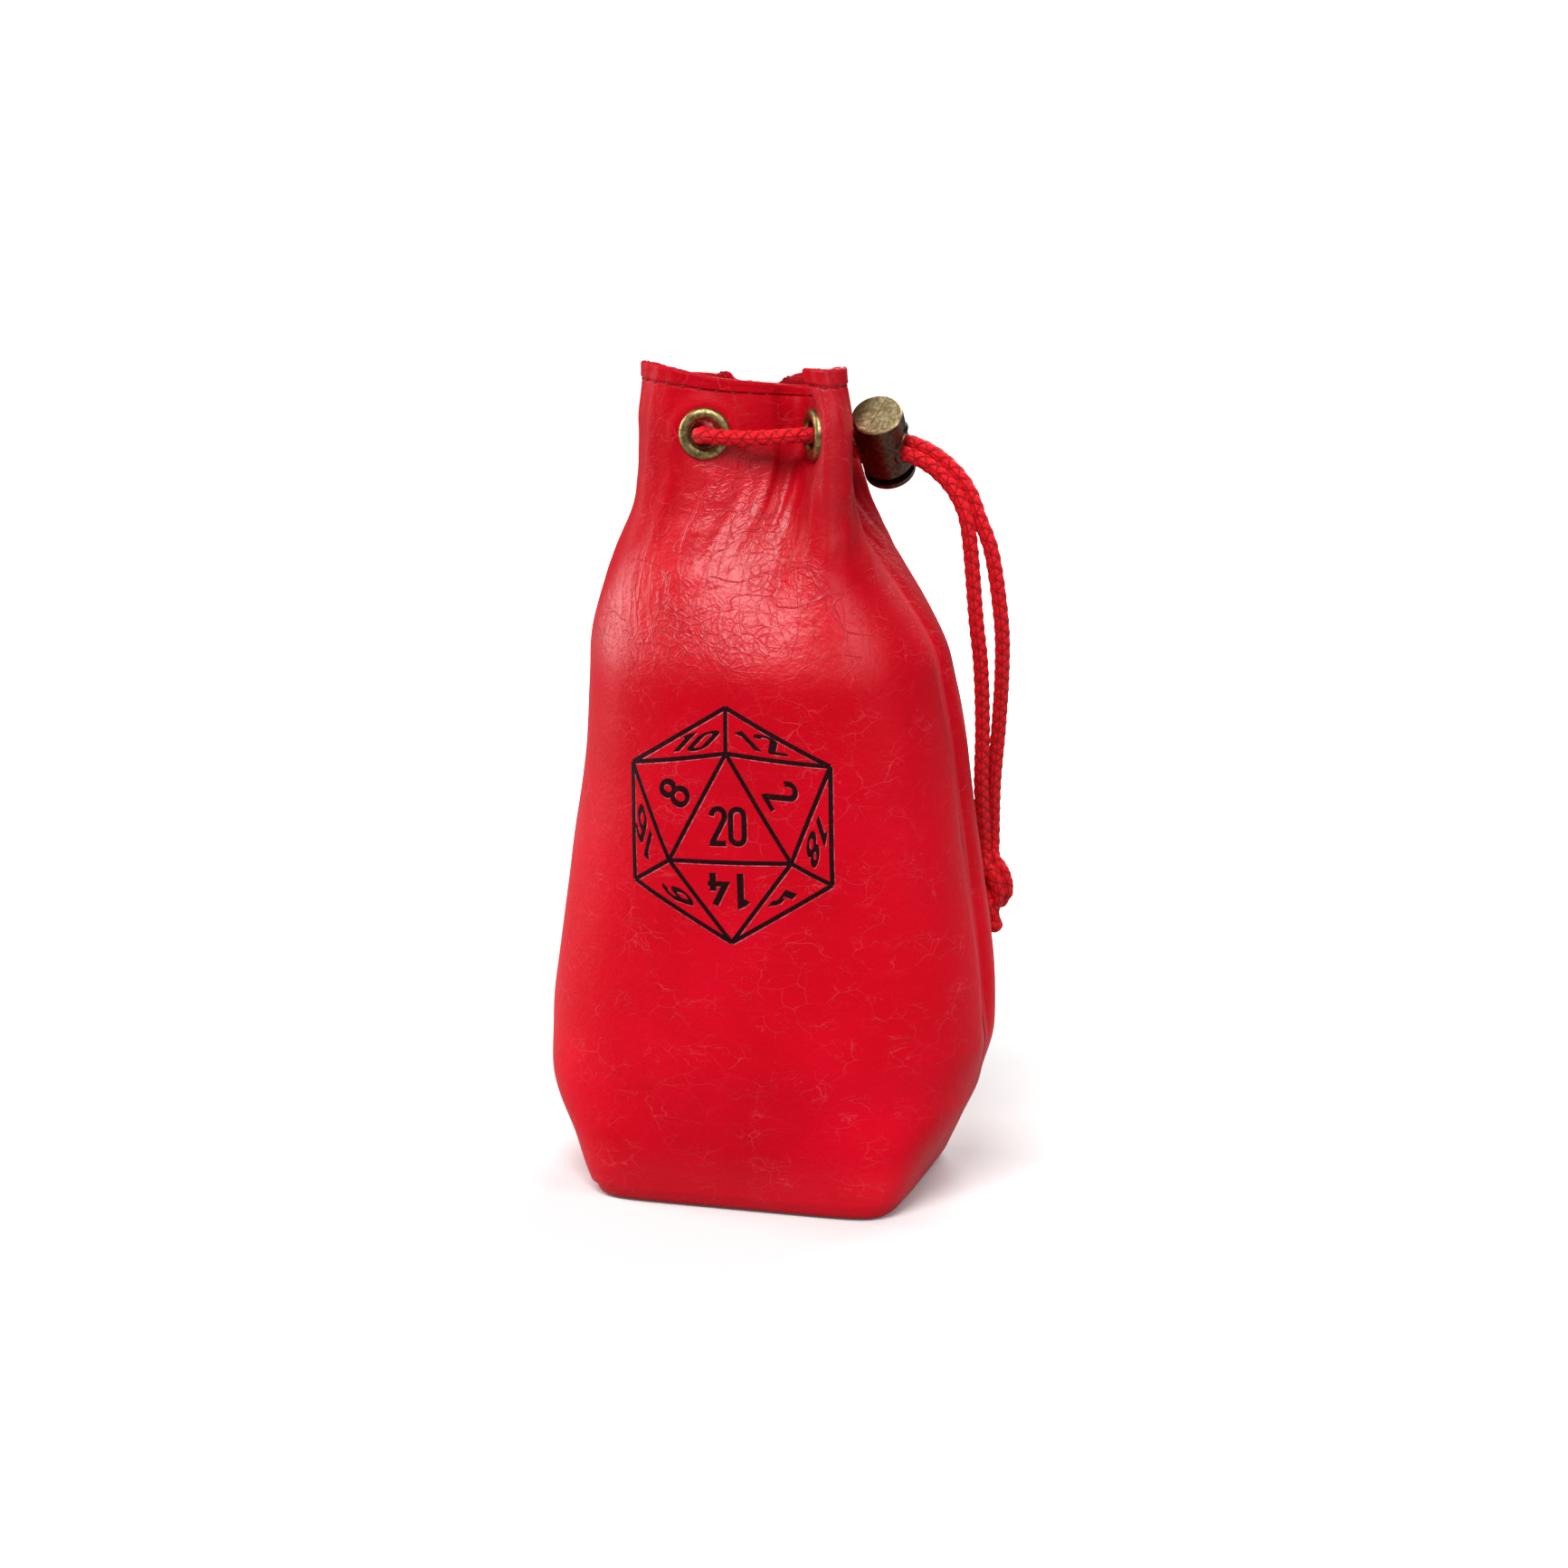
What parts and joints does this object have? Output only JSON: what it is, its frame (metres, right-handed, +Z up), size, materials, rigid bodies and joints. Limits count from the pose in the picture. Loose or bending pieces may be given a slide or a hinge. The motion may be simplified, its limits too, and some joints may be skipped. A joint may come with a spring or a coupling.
{
  "type": "drawstring dice bag",
  "caption": "Small boxed drawstring pouch in soft leather with a suede lining, metal eyelets round a gathered neck, a braided cord and a spring cord lock",
  "frame": {"origin": "centre of the flat base, on the table", "axes": "+Z up, -Y towards the printed front, +X towards the side with the cord lock"},
  "size_m": [0.0848, 0.0612, 0.1528],
  "materials": {
    "red_leather": "soft grained leather with a light sheen",
    "suede_lining": "napped suede",
    "eyelet_brass": "antique brass plating",
    "lock_bronze": "dark antiqued metal, bright where worn",
    "spring_steel": "bare spring wire",
    "braided_cord": "round braided nylon",
    "sewing_thread": "polyester thread"
  },
  "bodies": {
    "bag": {"front_panel": "red_leather", "back_panel": "red_leather", "lining_body": "suede_lining", "cord_bend_front": "braided_cord", "cord_bend_back": "braided_cord"},
    "mouth_front": {"front_neck": "red_leather", "lining_neck_front": "suede_lining", "eyelet_front_left": "eyelet_brass", "eyelet_front_right": "eyelet_brass", "eyelet_side_front_left": "eyelet_brass", "eyelet_side_front_right": "eyelet_brass", "washer_front_left": "eyelet_brass", "washer_front_right": "eyelet_brass", "washer_side_front_left": "eyelet_brass", "washer_side_front_right": "eyelet_brass", "hem_thread_front": "sewing_thread", "cord_front": "braided_cord"},
    "mouth_back": {"back_neck": "red_leather", "lining_neck_back": "suede_lining", "eyelet_back_left": "eyelet_brass", "eyelet_back_right": "eyelet_brass", "eyelet_side_back_left": "eyelet_brass", "eyelet_side_back_right": "eyelet_brass", "washer_back_left": "eyelet_brass", "washer_back_right": "eyelet_brass", "washer_side_back_left": "eyelet_brass", "washer_side_back_right": "eyelet_brass", "hem_thread_back": "sewing_thread", "cord_back": "braided_cord"},
    "cord_tails": {"cord_tail_front": "braided_cord", "cord_tail_back": "braided_cord", "end_knot": "braided_cord"},
    "lock": {"lock_barrel": "lock_bronze", "lock_spring": "spring_steel"},
    "plunger": {"lock_plunger": "lock_bronze"}
  },
  "joints": [
    {"name": "mouth_open", "type": "hinge", "parent": "bag", "child": "mouth_front", "pos_m": [0, -0.028, 0.1], "axis": [1, 0, 0], "range_deg": [0, 12], "stiffness_Nm_per_rad": 0.02},
    {"name": "mouth_open_back", "type": "hinge", "parent": "bag", "child": "mouth_back", "pos_m": [0, 0.0286, 0.1], "axis": [-1, 0, 0], "range_deg": [0, 12]},
    {"name": "lock_slide", "type": "hinge", "parent": "bag", "child": "lock", "pos_m": [0.0206, -0.0015, 0.1205], "axis": [0, 1, 0], "range_deg": [0, 50]},
    {"name": "plunger_press", "type": "slide", "parent": "lock", "child": "plunger", "axis": [0, -0.6626, 0.749], "range_m": [0, 0.0016], "stiffness_N_per_m": 400, "springref_m": -0.002, "deforming": ["lock_spring"]},
    {"name": "tails_swing", "type": "hinge", "parent": "bag", "child": "cord_tails", "pos_m": [0.03682, -0.00097, 0.12454], "axis": [0, -1, 0], "range_deg": [0, 75]}
  ],
  "couplings": [
    {"joint": "mouth_open_back", "follows": "mouth_open", "ratio": 1}
  ]
}
